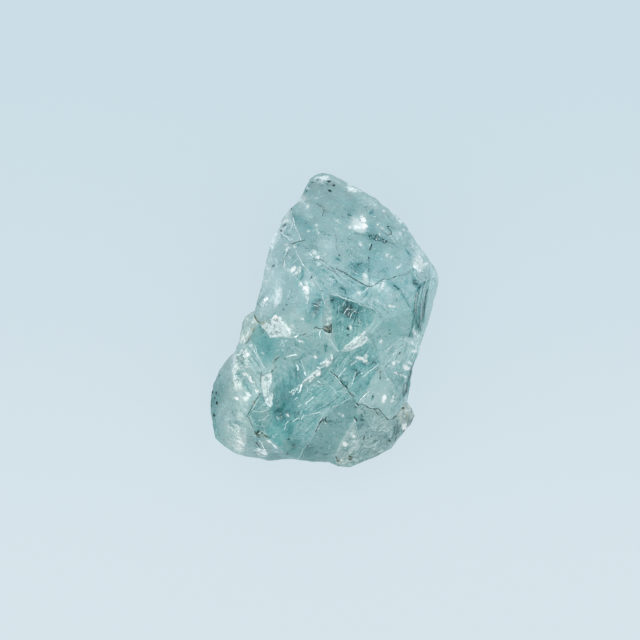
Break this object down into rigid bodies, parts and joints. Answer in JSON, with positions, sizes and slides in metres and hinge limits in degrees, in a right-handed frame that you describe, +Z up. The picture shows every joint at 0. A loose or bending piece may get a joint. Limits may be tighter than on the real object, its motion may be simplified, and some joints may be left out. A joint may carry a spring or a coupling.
{
  "type": "rough aquamarine crystal",
  "caption": "Broken piece of a clear pale blue-green beryl crystal, with a striated prism face, conchoidal breaks, ledges and a flat resting face.",
  "frame": {"origin": "bottom centre of the stone's box, on the surface it rests on", "axes": "+Z up out of the resting face, +Y along the stone towards its pointed tip, +X towards the striated prism face"},
  "size_m": [0.0172, 0.0221, 0.0119],
  "materials": {
    "aquamarine": "clear to slightly cloudy blue-green stone, glossy breaks with frosted flakes"
  },
  "bodies": {
    "root": {"crystal": "aquamarine"}
  },
  "joints": []
}
